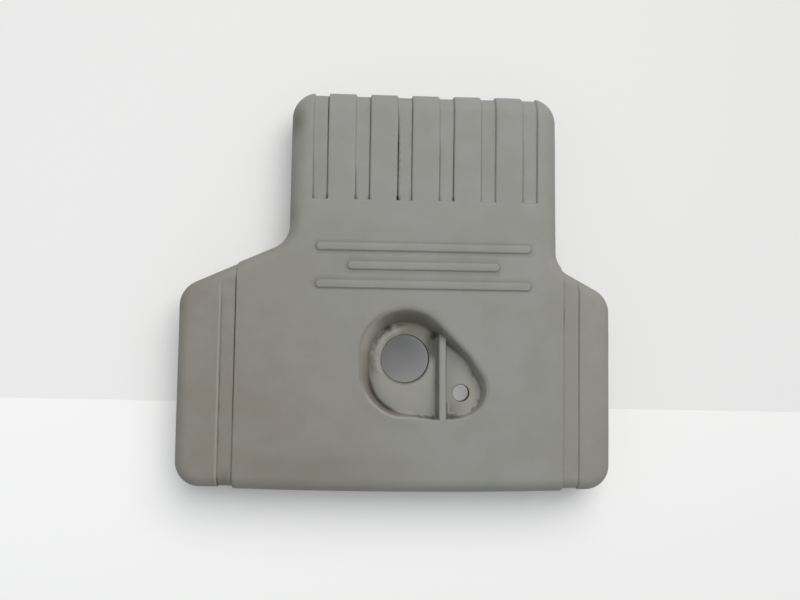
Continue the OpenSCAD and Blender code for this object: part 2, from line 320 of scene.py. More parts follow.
def rib_height(x, y):
    """Height of the rib's surface. Its top is rounded, and rises to the face at the lower side."""
    top = COVER_H - RIB_DROP * (y - RIB_LOW_Y) / (RIB_HIGH_Y - RIB_LOW_Y)
    lean = RIB_LEAN_FILLER if x < RIB_X else RIB_LEAN_DIPSTICK
    radius = RIB_R_FILLER if x < RIB_X else RIB_R_DIPSTICK
    past = abs(x - RIB_X) - RIB_W / 2 + radius
    if past <= 0:
        z = top
    elif past <= radius:
        z = top - radius + (radius**2 - past**2) ** 0.5
    elif past <= radius + lean:
        fall = (past - radius) / lean
        z = FLOOR_Z + RIB_FOOT_H + (top - radius - FLOOR_Z - RIB_FOOT_H) * (1 - fall)
    else:
        z = FLOOR_Z + RIB_FOOT_H * max(0.0, 1 - (past - radius - lean) / RIB_FOOT_RUN) ** 2
    return min(z, COVER_H)


# Surface detail

def ramp(value, low, high):
    """Eases from 0 at low to 1 at high."""
    t = min(1.0, max(0.0, (value - low) / (high - low)))
    return t * t * (3 - 2 * t)


def window(value, low, full, fade, end):
    """Eases from 0 at low to 1 at full, and back from fade to end."""
    return ramp(value, low, full) * (1 - ramp(value, fade, end))


def tent(value, middle, reach):
    """1 at the middle, and evenly down to 0 at reach on both sides."""
    return max(0.0, 1 - abs(value - middle) / reach)


def grain(x, y, z, size):
    """Smooth noise from -1 to 1 whose lumps are about size millimetres across."""
    return noise.noise(Vector((x / size, y / size, z / size + 11.3)))


# The dark slits at the feet of each groove's two steps, from the left groove to the right one:
# the left slit's strength and how far up the neck it runs,
# then the right slit's strength at its lower end and at the neck's edge
GROOVE_SLITS = [
    (0.5, 52, 0.75, 0.95),
    (0.65, 40, 0.65, 0.6),
    (1.3, 100, 0.5, 0.45),
    (0.55, 80, 0.65, 0.4),
    (0.28, 105, 0.1, 0.12),
    (0.45, 95, 0.2, 0.0),
]

# Where the mesh is cut beside a step, in millimetres past its edge
STEP_CUTS = (-1.4, -0.6, -0.2, 0.05, 0.3, 0.65, 1.0, 1.5)

# Middle of a slit past its step's edge, and its depth where it is strongest
SLIT_PLACE = 0.65
SLIT_DEPTH = 1.7

# How far the bars' tops stay below the solid's, so that they lie in its box
BAR_SHY = 0.03

# How much wider wear makes the pocket's lip at the left
LIP_WEAR = 2.1

# Corner of the floor between the filler opening, the upper wall and the rib, where shadow is painted
RIB_CORNER = (43, -60)


def step_profile(past, crisp=1.0):
    """Share of a step's depth at some millimetres past its edge. A crisp step is steep."""
    steep = 0.25 * ramp(past, -0.7, 0.05) + 0.75 * ramp(past, 0.0, 0.4)
    return ramp(past, -1.4, 1.5) * (1 - crisp) + steep * crisp


def spot(x, y, place, squeeze, reach):
    """1 at a place, and down to 0 all round it. A squeeze over 1 narrows it that way."""
    return tent(hypot((x - place[0]) * squeeze[0], (y - place[1]) * squeeze[1]), 0, reach)


def slit(past, reach=0.5):
    """Shape of the narrow slit at a step's foot."""
    return tent(past, SLIT_PLACE, reach)


def band_depth(x, y):
    """Depth of the skin across the wings and bands. At the shoulders the bands
    run out level with the wings."""
    recess = RECESS - (RECESS - WING_STEP) * ramp(y, 0, 14)
    if BOW_LEFT < x < BOW_RIGHT:
        past = BAND_LEFT[1] - x if x < 0 else x - BAND_RIGHT[0]
        return recess * step_profile(past)
    past = x - BAND_LEFT[0] if x < 0 else BAND_RIGHT[1] - x
    return WING_STEP + (recess - WING_STEP) * step_profile(past)


def band_slit(x, y):
    """Strength of the slits along the bands. They waver, as the foam's edge does."""
    waver = 0.75 + 0.5 * grain(3.1, y, 0.0, 26.0)
    patches = ramp(grain(5.2, y, 0.0, 19.0), -0.25, 0.2)
    inner_left = 0.2 + 0.5 * ramp(y, -150, -120) + 0.35 * ramp(y, -90, -70)
    inner_left *= 1 - 0.75 * ramp(y, 0, 14)
    outer_left = (0.1 + 0.2 * patches + 0.45 * ramp(-y, 80, 110) * (0.5 + 0.5 * patches)) * waver
    outer_left *= 1 - ramp(y, -2, 12)
    inner_right = (0.22 + 0.55 * tent(y, -28, 16)) * waver
    outer_right = 0.3 * waver
    return max(
        slit(BAND_LEFT[1] - x) * inner_left,
        slit(x - BAND_LEFT[0]) * outer_left,
        slit(x - BAND_RIGHT[0]) * inner_right,
        slit(BAND_RIGHT[1] - x) * outer_right,
    )


def groove_shape(x, y):
    """Depth of the skin in the neck's grooves, and the strength of the slits there."""
    number = min(range(GROOVE_N), key=lambda i: abs(x - GROOVES[i]))
    left = x - (GROOVES[number] - GROOVE_W / 2)
    right = GROOVES[number] + GROOVE_W / 2 - x
    end = y - GROOVE_END
    past = min(left, right, end)
    if past < -1.5:
        return 0.0, 0.0
    left_strength, reach, low_strength, high_strength = GROOVE_SLITS[number]
    waver = 0.85 + 0.35 * grain(number * 7.7, y, 4.0, 22.0)
    left_cut = left_strength * (1 - ramp(end, reach * 0.6, reach * 1.1)) * waver
    right_cut = (low_strength + (high_strength - low_strength) * ramp(end, 40, 95)) * waver
    wedge = 1.6 * tent(end, 2.0, 5.0)
    cut = max(
        slit(left, 0.5 + max(0.0, left_cut - 0.9)) * left_cut,
        slit(right) * right_cut,
        tent(left, 0.6, 1.7) * wedge * (left_strength - 0.25),
        tent(right, 0.6, 1.7) * wedge * (low_strength - 0.25),
    )
    crisp = 0.25 + 0.75 * min(1.0, left_cut * 1.6) if past == left else 0.2 + min(0.7, right_cut)
    return RECESS * step_profile(past, crisp), cut * ramp(end, 0.1, 0.6)


def bar_distance(x, y):
    """Distance outside the nearest raised bar's outline, negative on the bar."""
    nearest = 99.0
    for i, length in enumerate(BAR_LENGTHS):
        reach = (length - BAR_W) / 2
        dx = max(0.0, abs(x - NECK_X) - reach)
        nearest = min(nearest, hypot(dx, y - (BAR_Y - i * BAR_PITCH)) - BAR_W / 2)
    return nearest


# Mesh

def new_ring(bm, points, zone, inward=None):
    """Adds a ring of vertices. inward is the way the skin goes when it lies deeper."""
    zones = bm.verts.layers.int["zone"]
    inwards = bm.verts.layers.float_vector["inward"]
    ring = []
    for k, p in enumerate(points):
        v = bm.verts.new(p)
        v[zones] = zone
        if inward:
            v[inwards] = inward[k]
        ring.append(v)
    return ring


def wall_between(bm, lower, upper, zone):
    """Closes the strip between two rings of the same length."""
    zones = bm.faces.layers.int["zone"]
    n = len(lower)
    for i in range(n):
        j = (i + 1) % n
        f = bm.faces.new((lower[i], lower[j], upper[j], upper[i]))
        f[zones] = zone


def inside(loop, points):
    """Which points lie inside a closed loop."""
    hit = np.zeros(len(points), bool)
    x, y = points[:, 0], points[:, 1]
    for (ax, ay), (bx, by) in zip(loop, np.roll(loop, -1, axis=0)):
        if ay == by:
            continue
        across = ((ay > y) != (by > y)) & (x < (bx - ax) * (y - ay) / (by - ay) + ax)
        hit ^= across
    return hit


def quarter_turn(steps):
    """Angles from 0 to a right angle in equal steps."""
    return [pi / 2 * k / steps for k in range(steps + 1)]


def wall_stack(bm, rings, zone, falling=False):
    """Closes the strips between neighbouring rings, which rise or fall in their order."""
    for one, two in zip(rings, rings[1:]):
        if falling:
            one, two = two, one
        wall_between(bm, one, two, zone)


def loop_gaps(loop, points):
    """Distance of each point from the nearest side of a closed loop."""
    gaps = np.full(len(points), np.inf)
    for a, b in zip(loop, np.roll(loop, -1, axis=0)):
        side = b - a
        t = np.clip(((points - a) @ side) / max(side @ side, 1e-9), 0, 1)
        gaps = np.minimum(gaps, np.linalg.norm(points - (a + t[:, None] * side), axis=1))
    return gaps


def near_loops(loops, points, gap):
    """Which points lie within gap of any loop's sides."""
    close = np.zeros(len(points), bool)
    for loop in loops:
        close |= loop_gaps(loop, points) < gap
    return close


def joined_faces(faces, edges, edge_origins):
    """Groups of triangles that no ring or ridge parts from each other."""
    drawn = {frozenset(e) for e, origin in zip(edges, edge_origins) if origin}
    beside = {}
    for i, f in enumerate(faces):
        for pair in zip(f, f[1:] + f[:1]):
            if frozenset(pair) not in drawn:
                beside.setdefault(frozenset(pair), []).append(i)
    waiting = set(range(len(faces)))
    groups = []
    while waiting:
        group = [waiting.pop()]
        for i in group:
            f = faces[i]
            for pair in zip(f, f[1:] + f[:1]):
                found = waiting.intersection(beside.get(frozenset(pair), ()))
                waiting -= found
                group += sorted(found)
        groups.append(group)
    return groups


def flat_sheet(bm, outer, holes, z, spacing, zone, inward=None, ridges=()):
    """Fills a level area between rings with an even mesh of triangles.
    Ridges are extra closed lines that the mesh follows."""
    zones = bm.verts.layers.int["zone"]
    inwards = bm.verts.layers.float_vector["inward"]
    face_zones = bm.faces.layers.int["zone"]
    rings = [outer] + holes
    loops = [np.array([(v.co.x, v.co.y) for v in ring]) for ring in rings]
    ridge_loops = [np.array(r) for r in ridges]
    low, high = loops[0].min(0), loops[0].max(0)
    rows = np.arange(low[1], high[1], spacing * ROW_SHARE)
    grid = []
    for k, y in enumerate(rows):
        start = low[0] + (spacing / 2 if k % 2 else 0)
        grid += [(x, y) for x in np.arange(start, high[0], spacing)]
    grid = np.array(grid)
    keep = inside(loops[0], grid)
    for loop in loops[1:]:
        keep &= ~inside(loop, grid)
    grid = grid[keep]
    grid = grid[~near_loops(loops, grid, spacing * RING_SHARE)]
    if ridge_loops:
        grid = grid[~near_loops(ridge_loops, grid, spacing * RIDGE_SHARE)]
    places = [v.co.xy.copy() for ring in rings for v in ring]
    owners = [v for ring in rings for v in ring]
    sides = []
    start = 0
    for loop in loops + ridge_loops:
        n = len(loop)
        sides += [(start + k, start + (k + 1) % n) for k in range(n)]
        start += n
    places += [Vector(p) for loop in ridge_loops for p in loop]
    places += [Vector(p) for p in grid]
    points, edges, faces, origins, edge_origins, _ = delaunay_2d_cdt(places, sides, [], 0, 1e-6)
    verts = []
    for p, origin in zip(points, origins):
        known = [k for k in origin if k < len(owners)]
        if known:
            verts.append(owners[known[0]])
            continue
        v = bm.verts.new((p.x, p.y, z))
        v[zones] = zone
        if inward:
            v[inwards] = inward
        verts.append(v)
    # The widest triangle of a group says whether the group lies on the sheet,
    # because the thinnest ones lie on the rings themselves
    corners = np.array([[points[k] for k in f] for f in faces])
    centres = corners.mean(axis=1)
    one, two = corners[:, 1] - corners[:, 0], corners[:, 2] - corners[:, 0]
    areas = np.abs(one[:, 0] * two[:, 1] - one[:, 1] * two[:, 0])
    keep = inside(loops[0], centres)
    for loop in loops[1:]:
        keep &= ~inside(loop, centres)
    for group in joined_faces(faces, edges, edge_origins):
        keep[group] = keep[max(group, key=lambda i: areas[i])]
    for f, kept in zip(faces, keep):
        if kept:
            face = bm.faces.new([verts[k] for k in f])
            face[face_zones] = zone
    for v in verts:
        if not v.link_faces:
            bm.verts.remove(v)


def score(bm, zone, axis, place, offsets, above=None):
    """Cuts lines across a zone's faces beside a step, so that the mesh can take its profile."""
    zones = bm.faces.layers.int["zone"]
    low, high = place + min(offsets), place + max(offsets)
    faces = []
    for f in bm.faces:
        if f[zones] != zone:
            continue
        values = [v.co[axis] for v in f.verts]
        if min(values) > high or max(values) < low:
            continue
        if above is None or f.calc_center_median().y > above:
            faces.append(f)
    geom = set(faces)
    for f in faces:
        geom.update(f.edges)
        geom.update(f.verts)
    normal = Vector((0, 0, 0))
    normal[axis] = 1
    for offset in offsets:
        point = Vector((0, 0, 0))
        point[axis] = place + offset
        cut = bmesh.ops.bisect_plane(bm, geom=list(geom), dist=1e-4, plane_co=point, plane_no=normal)
        geom = set(g for g in cut["geom"] if g.is_valid)


def rim_row(angle, depth):
    """A row of the skin round the rim's outer edge, where the skin lies depth further in."""
    inset = depth - WALL_LEAN + RIM_R * (1 - sin(angle))
    return outline_ring(inset, 0, 0, RIM_R * (1 - cos(angle)))


def wall_row(share, depth):
    """A row of the skin at a share of the wall's height."""
    foot = outline_ring(depth - WALL_LEAN, 0, 0, RIM_R)
    head = outline_ring(depth, 0, 1, COVER_H - depth)
    return [a.lerp(b, share) for a, b in zip(foot, head)]


def edge_row(angle, depth):
    """A row of the skin on the rounding of the wall into the face."""
    return outline_ring(depth, 1 - cos(angle), 1 - sin(angle), COVER_H - depth)


def outer_skin(bm):
    """Rim, walls, rounded edge and the innermost ring of the face."""
    steps = steps_along(outline_ring(0, 0, 0, 0), 4.5)
    rows = [(rim_row, angle) for angle in quarter_turn(4)]
    rows += [(wall_row, k / 9) for k in range(1, 9)]
    rows += [(edge_row, angle) for angle in quarter_turn(14)]
    rings = []
    for row, place in rows:
        points, deeper = row(place, 0.0), row(place, 1.0)
        inward = [b - a for a, b in zip(points, deeper)]
        rings.append(new_ring(bm, split_sides(points, steps), SKIN, split_sides(inward, steps)))
    wall_stack(bm, rings, SKIN)
    return rings[0], rings[-1], steps


def worn_lip(point, lip):
    """The pocket's wall is worn wider towards its lip at the left and lower left."""
    off = point.xy - FILLER
    angle = degrees(atan2(off.y, off.x)) % 360
    wear = LIP_WEAR * lip * window(angle, 95, 160, 258, 285)
    return point + (off.normalized() * wear).to_3d()


def pocket_hollow(bm):
    """The pocket's rounded mouth, its walls and the rounding into its floor."""
    steps = steps_along(pocket_ring(1, 0, 0), 2.5)
    levels = [
        (-FLOOR_R * (1 - sin(a)), FLOOR_Z + FLOOR_R * (1 - cos(a))) for a in quarter_turn(5)
    ]
    low, high = FLOOR_Z + FLOOR_R, COVER_H - MOUTH_R
    levels += [(0, low + (high - low) * k / 12) for k in range(1, 12)]
    levels += [
        (MOUTH_R * (1 - cos(a)), COVER_H - MOUTH_R * (1 - sin(a))) for a in quarter_turn(8)
    ]
    rings = []
    for growth, z in levels:
        line = split_sides(pocket_ring(wall_share(z), growth, z), steps)
        lip = ramp(z, COVER_H - 9, COVER_H)
        rings.append(new_ring(bm, [worn_lip(p, lip) for p in line], POCKET))
    wall_stack(bm, rings, POCKET)
    return rings[0], rings[-1], steps


def opening(bm, centre, radius, segs):
    """A round opening through the pocket's floor, with softened edges."""
    levels = [
        (radius + 0.9, FLOOR_Z),
        (radius + 0.35, FLOOR_Z - 0.12),
        (radius + 0.08, FLOOR_Z - 0.4),
        (radius, FLOOR_Z - 0.9),
    ]
    levels += [(radius, FLOOR_Z - WALL_T * t) for t in (0.3, 0.5, 0.7, 0.93)]
    levels += [(radius + 0.6, SHELL_Z)]
    rings = [new_ring(bm, circle_ring(centre, r, z, segs), POCKET) for r, z in levels]
    wall_stack(bm, rings, POCKET, falling=True)
    return rings[0], rings[-1]


def underside(bm, rim_ring, steps, pocket_steps, openings):
    """The hollow under the cover: walls, roof, the pocket's shell and the stud sockets."""
    inner_edge = max(EDGE_R - WALL_T, INNER_R)
    foot = outline_ring(WALL_T - WALL_LEAN, 0, 0, 0)
    head = outline_ring(WALL_T, 0, 0, ROOF_Z - inner_edge)
    rows = [foot]
    rows += [[a.lerp(b, k / 7) for a, b in zip(foot, head)] for k in range(1, 7)]
    for a in quarter_turn(5):
        inset = WALL_T + inner_edge * (1 - cos(a))
        rows.append(outline_ring(inset, 0, 0, ROOF_Z - inner_edge * (1 - sin(a))))
    rings = [new_ring(bm, split_sides(row, steps), UNDERSIDE) for row in rows]
    wall_between(bm, rings[0], rim_ring, UNDERSIDE)
    wall_stack(bm, rings, UNDERSIDE, falling=True)
    shell_levels = [
        (0, WALL_T - SHELL_EDGE, SHELL_Z),
        (0, WALL_T - SHELL_EDGE * 0.3, SHELL_Z + SHELL_EDGE * 0.3),
        (0, WALL_T, SHELL_Z + SHELL_EDGE),
        (SHELL_SHARE, WALL_T - SHELL_TAPER, ROOF_Z),
    ]
    lines = [split_sides(pocket_ring(*level), pocket_steps) for level in shell_levels]
    shell = [new_ring(bm, line, UNDERSIDE) for line in lines]
    wall_stack(bm, shell, UNDERSIDE)
    flat_sheet(bm, shell[0], openings, SHELL_Z, 6.0, UNDERSIDE)
    holes = [shell[-1]]
    for side in (-1, 1):
        for end in (-1, 1):
            centre = Vector((NECK_X + side * SOCKET_DX / 2, end * SOCKET_DY / 2))
            holes.append(stud_boss(bm, centre))
    flat_sheet(bm, rings[-1], holes, ROOF_Z, 8.0, UNDERSIDE)


def stud_boss(bm, centre):
    """A round boss under the roof with the blind hole that snaps over a ball stud."""
    levels = [
        (BOSS_R + 1.2, ROOF_Z),
        (BOSS_R + 0.3, ROOF_Z - 0.5),
        (BOSS_R, ROOF_Z - 1.5),
        (BOSS_R, BOSS_Z + 1.5),
        (BOSS_R - 0.5, BOSS_Z + 0.4),
        (BOSS_R - 1.5, BOSS_Z),
        (SOCKET_R + 0.8, BOSS_Z),
        (SOCKET_R + 0.2, BOSS_Z + 0.3),
        (SOCKET_R, BOSS_Z + 1.0),
        (SOCKET_R, BOSS_Z + SOCKET_H),
    ]
    rings = [new_ring(bm, circle_ring(centre, r, z, 40), UNDERSIDE) for r, z in levels]
    wall_stack(bm, rings, UNDERSIDE)
    cap = bm.faces.new(rings[-1])
    cap[bm.faces.layers.int["zone"]] = UNDERSIDE
    return rings[0]


def bar_ridges():
    """Lines round each raised bar that give its rounded sides their shape."""
    ridges = []
    for i, length in enumerate(BAR_LENGTHS):
        reach = (length - BAR_W) / 2
        y = BAR_Y - i * BAR_PITCH
        between = np.linspace(reach, -reach, 36)[1:-1]
        for growth in (0.75, 0.4, 0.15, -0.1, -0.4, -0.9, -1.6):
            r = BAR_W / 2 + growth
            line = []
            for side in (1, -1):
                for k in range(17):
                    a = pi * k / 16 - side * pi / 2
                    line.append((NECK_X + side * reach + r * cos(a), y + r * sin(a)))
                line += [(NECK_X + side * x, y + side * r) for x in between]
            ridges.append(line)
    return ridges


def bar_lift(x, y):
    """Height of the raised bars' rounded top over the face."""
    d = bar_distance(x, y)
    if d > 0.8:
        return 0.0
    return (BAR_H - BAR_SHY) * (1 - ramp(d, -1.3, 0.6))


def shape_skin(bm):
    """Moves the skin in at the wings, bands and grooves, and out at the bars."""
    zones = bm.verts.layers.int["zone"]
    inwards = bm.verts.layers.float_vector["inward"]
    soil_and_shade_layer, grime_and_shade_layer, _, scuff_and_light_layer = (bm.verts.layers.float[name] for name in MARKS)
    for v in bm.verts:
        if v[zones] != SKIN:
            continue
        x, y, z = v.co
        groove_depth, cut = groove_shape(x, y)
        cut = max(cut, band_slit(x, y)) * ramp(z, 12, 40)
        swell = 0.25 + 0.28 * grain(x, y, z, 95.0) + 0.12 * grain(x, y, z, 34.0)
        depth = max(band_depth(x, y), groove_depth) + cut * SLIT_DEPTH - bar_lift(x, y)
        v.co += v[inwards] * (depth + swell * ramp(z, 4, 20))
        # Dark in the slits and round the bars' feet: partly soil, partly painted shade in these crevices
        v[soil_and_shade_layer] = min(1.0, max(cut * 1.25, 0.4 * tent(bar_distance(x, y), 0.45, 0.6)))
        # Grime on the neck's left edge, and at the left band's foot
        upper = spot(x, y, (-111, 181), (1.6, 1), 22)
        lower = spot(x, y, (-113, 78), (1.5, 1), 20)
        foot = tent(x, BOW_LEFT, 13) * ramp(-y, 188, 203)
        # Broad dirt above the lower edge, towards the left
        hem = window(-y, 170, 186, 200, 210) * window(x, -160, -130, -20, 40)
        hem *= 0.8 + 0.4 * grain(x, y, 9.0, 30.0)
        v[grime_and_shade_layer] = max(0.9 * upper, 0.35 * lower, 0.7 * foot, 0.28 * hem)
        # The left wing's edge beside the band has a painted highlight, where it faces the light
        v[scuff_and_light_layer] = 0.5 * tent(BAND_LEFT[0] - x, 1.4, 1.6) * ramp(-y, -8, 4)


def near_floor(z):
    """1 on the pocket's floor, and down to 0 above the foot of its wall."""
    return 1 - ramp(z, FLOOR_Z + 1.5, FLOOR_Z + 6)


def on_wall(z):
    """1 on the pocket's wall, and down to 0 at the floor and the face."""
    return window(z, FLOOR_Z + 0.5, FLOOR_Z + 4, COVER_H - 2.2, COVER_H - 0.4)


def rib_soil_and_shade(x, y, rib):
    """Darkening on the rib: painted shade down its sides and at its upper end under the upper wall, and
    soil along its right edge.
    """
    past = abs(x - RIB_X) - RIB_W / 2
    soil_and_shade = 0.4 * ramp(y, -62, -46)
    if past > 0:
        low_side = 1 - ramp(rib, FLOOR_Z + 1, FLOOR_Z + 7)
        soil_and_shade = max(soil_and_shade, 0.35 * low_side * (1 - 0.7 * ramp(-y, 98, 118)))
    elif x > RIB_X and past > -1:
        soil_and_shade = max(soil_and_shade, 0.25)
    return soil_and_shade


def filler_side(x, y, z, gap):
    """Lift, soil, grime, stain and scuffs of the foam on the filler's side of the rib, with much painted
    shade in the soil and grime and painted light in the scuffs.
    """
    off = Vector((x, y)) - FILLER
    angle = degrees(atan2(off.y, off.x)) % 360
    floor, wall = near_floor(z), on_wall(z)

    # Torn foam above and to the left of the opening: a raised lip, and pits behind it
    torn = window(angle, 80, 112, 195, 225) * floor
    ragged = 1.6 * grain(x, y, 0.0, 8.0) + grain(x, y, 5.0, 3.4)
    lip = tent(off.length, 31.5 + ragged * 0.6, 3.6) * torn
    pit = tent(gap, 1.6 + ragged, 2.2) * torn * ramp(grain(x, y, 2.0, 10.0), -0.3, 0.15)
    hole = min(1.0, 1.6 * spot(x + 0.6 * ragged, y, (-9, -41.5), (1, 1.3), 6)) * floor
    # Crease at the wall's foot, deepest at the lower left
    deep = window(angle, 185, 225, 250, 268)
    crease = window(angle, 150, 160, 262, 275) * (0.2 + 0.8 * deep)
    crease *= tent(gap, 0.3 + 0.3 * deep, 1.2 + 1.7 * deep) * floor
    lift = 1.6 * lip * (0.7 + 0.6 * grain(x, y, 8.0, 5.0)) - 1.8 * max(pit, hole)
    lift -= 1.2 * deep * tent(gap, 0.8, 1.6) * floor

    # Pale scuffs on the torn lip; the paler lower lip, floor and left wall are painted light
    below_face = 1 - ramp(z, COVER_H - 0.2, COVER_H)
    left_wall = window(angle, 115, 140, 195, 215) * (1 - 0.75 * ramp(angle, 160, 180))
    pale_floor = floor * (1 - ramp(y, -62, -48))
    pale_lip = window(angle, 214, 232, 280, 300) * below_face
    pale_lip *= ramp(z, COVER_H - 2.5, COVER_H - 1.2)
    scuff_and_light = max(0.6 * lip, 0.3 * pale_floor, 0.55 * wall * left_wall, 0.35 * pale_lip)

    # Olive grime and painted shade on the upper wall, which faces away from the light, and painted
    # shadow on the floor below it and in the corner beside the rib
    shade = ramp(angle, -5, 40) * (1 - 0.9 * ramp(angle, 98, 165))
    shade *= 1 - ramp(angle, 200, 260)
    shade *= 1 - 0.4 * ramp(angle, 100, 130) * (1 - ramp(z, FLOOR_Z + 6, COVER_H - 3))
    shelf_shade = 0.95 * ramp(y, -66, -50) * floor * (1 - 0.7 * ramp(angle, 98, 112))
    corner = spot(x, y, RIB_CORNER, (1, 0.8), 17) * floor
    grime_and_shade = max(wall * shade, shelf_shade, 1.3 * corner)

    # Brown stain on the left and lower left wall
    low_left = window(angle, 200, 228, 252, 276) * (1 - 0.55 * ramp(z, FLOOR_Z + 3, COVER_H - 2))
    low_left *= ramp(z - gap, FLOOR_Z - 3, FLOOR_Z) * (1 - ramp(z, COVER_H - 2.2, COVER_H - 0.8))
    whole_wall = ramp(z, FLOOR_Z + 0.5, FLOOR_Z + 4) * below_face
    foot = floor * tent(gap, 0, 1.5)
    stain = max(low_left, 0.42 * window(angle, 100, 130, 200, 228) * max(whole_wall, foot))

    # Dark soil in the pits and low on the lower left wall; painted shade in the crease, along the rib
    # and the left wall's foot, in the corner above the rib, and round the lower lip of the opening
    low_wall = 0.55 * deep * wall * (1 - 0.8 * ramp(z, FLOOR_Z + 2, COVER_H - 2))
    beside_rib = abs(x - RIB_X) - RIB_W / 2 - RIB_LEAN_FILLER
    along_rib = tent(beside_rib, -0.5, 4.0 + 3.0 * ramp(y, -105, -60)) ** 1.5
    along_rib *= 1 - 0.75 * ramp(-y, 98, 118)
    along_wall = window(angle, 150, 175, 235, 265) * tent(gap, 0, 12)
    lower_lip = ramp(-off.y / off.length, -0.3, 0.8) * tent(off.length, FILLER_R + 0.4, 1.9)
    soil_and_shade = max(
        0.6 * pit,
        0.8 * hole,
        crease,
        low_wall,
        (0.6 + 0.25 * ramp(y, -85, -60)) * along_rib * floor,
        min(0.7, 1.4 * spot(x, y, RIB_CORNER, (1, 0.8), 16)) * floor,
        0.34 * along_wall * floor,
        0.85 * lower_lip * floor,
    )
    return lift, soil_and_shade, grime_and_shade, stain, scuff_and_light


def dipstick_side(x, y, z, gap):
    """Lift, soil, grime, stain and scuffs of the foam on the small opening's side, with painted shade in
    the soil and grime and painted light in the scuffs.
    """
    floor, wall = near_floor(z), on_wall(z)
    # Olive grime and painted shade on the slanting wall, and a darker floor by the lower wall
    grime_and_shade = (0.2 + 0.35 * ramp(y, -82, -60)) * wall * ramp(y, -115, -90)
    grime_and_shade += 0.5 * floor * ramp(-y, 116, 128) * (1 - ramp(x, 74, 88))
    # Torn foam in the corner between the rib and the lower wall, and pits at the right
    beside_rib = abs(x - RIB_X) - RIB_W / 2 - RIB_LEAN_DIPSTICK
    nearest = min(beside_rib, gap)
    torn = ramp(-y, 120, 124) * (1 - ramp(x, 62, 70)) * floor
    lip = tent(nearest, 2.9, 1.4) * torn
    pit = tent(nearest, 0.9, 1.4) * torn
    pits = ramp(grain(x, y, 6.0, 3.2), 0.1, 0.3) * tent(gap, 1.0, 1.9) * ramp(x, 76, 82)
    # Darker at the rib's foot, partly soil and partly painted shade, and in the pits
    soil_and_shade = max(0.35 * tent(beside_rib, 0, 1.0) * floor, 0.65 * pit, 0.6 * pits * floor)
    # The paler right wall and floor are painted light; the torn lip is scuffed pale
    pale_wall = ramp(x, 66, 76) * (0.4 + 0.6 * ramp(-y, 88, 104)) * wall
    scuff_and_light = max(pale_wall, 0.6 * floor * ramp(x, 60, 80), 0.8 * lip)
    return 0.7 * lip - 0.9 * pit, soil_and_shade, grime_and_shade, 0.0, scuff_and_light


def shape_pocket(bm):
    """Raises the rib, tears the foam in the pocket, and marks it with soil, grime, stain and scuffs,
    much of them painted shade and light.
    """
    zones = bm.verts.layers.int["zone"]
    soil_and_shade_layer, grime_and_shade_layer, stains, scuff_and_light_layer = (bm.verts.layers.float[name] for name in MARKS)
    verts = [v for v in bm.verts if v[zones] == POCKET]
    wall_foot = np.array([(p.x, p.y) for p in pocket_ring(0, 0, 0)])
    gaps = loop_gaps(wall_foot, np.array([(v.co.x, v.co.y) for v in verts]))
    for v, gap in zip(verts, gaps):
        x, y, z = v.co
        if z < FLOOR_Z - 0.05:
            # The openings' walls are painted dark
            v[soil_and_shade_layer] = 0.75
            continue
        rib = rib_height(x, y)
        if rib > FLOOR_Z + 0.02 and rib > z:
            v.co.z = rib
            v[soil_and_shade_layer] = rib_soil_and_shade(x, y, rib)
            continue
        side = filler_side if x < RIB_X else dipstick_side
        lift, soil_and_shade, grime_and_shade, stain, scuff_and_light = side(x, y, z, gap)
        # Dark chips along the lower wall's foot, beside the rib: partly chipped foam, partly painted
        # shade in the crevice
        if y < -120 and 18 < x < 78:
            chips_and_shade = 0.5 + 0.8 * grain(x, y, 3.0, 4.0)
            soil_and_shade = max(soil_and_shade, chips_and_shade * tent(gap, 0.5, 1.8) * window(x, 18, 30, 64, 78))
        # Black patch where the upper wall meets the rib
        patch = min(1.0, 1.5 * spot(x, y, (41.0, -50.5), (1, 0.9), 6.5))
        soil_and_shade = max(soil_and_shade, patch * (1 - ramp(z, FLOOR_Z + 7, FLOOR_Z + 12)))
        v.co.z += lift
        v[soil_and_shade_layer] = min(1.0, max(0.0, soil_and_shade))
        v[grime_and_shade_layer] = min(1.0, grime_and_shade * (0.85 + 0.3 * grain(x, y, z, 22.0)))
        v[stains] = stain
        v[scuff_and_light_layer] = scuff_and_light


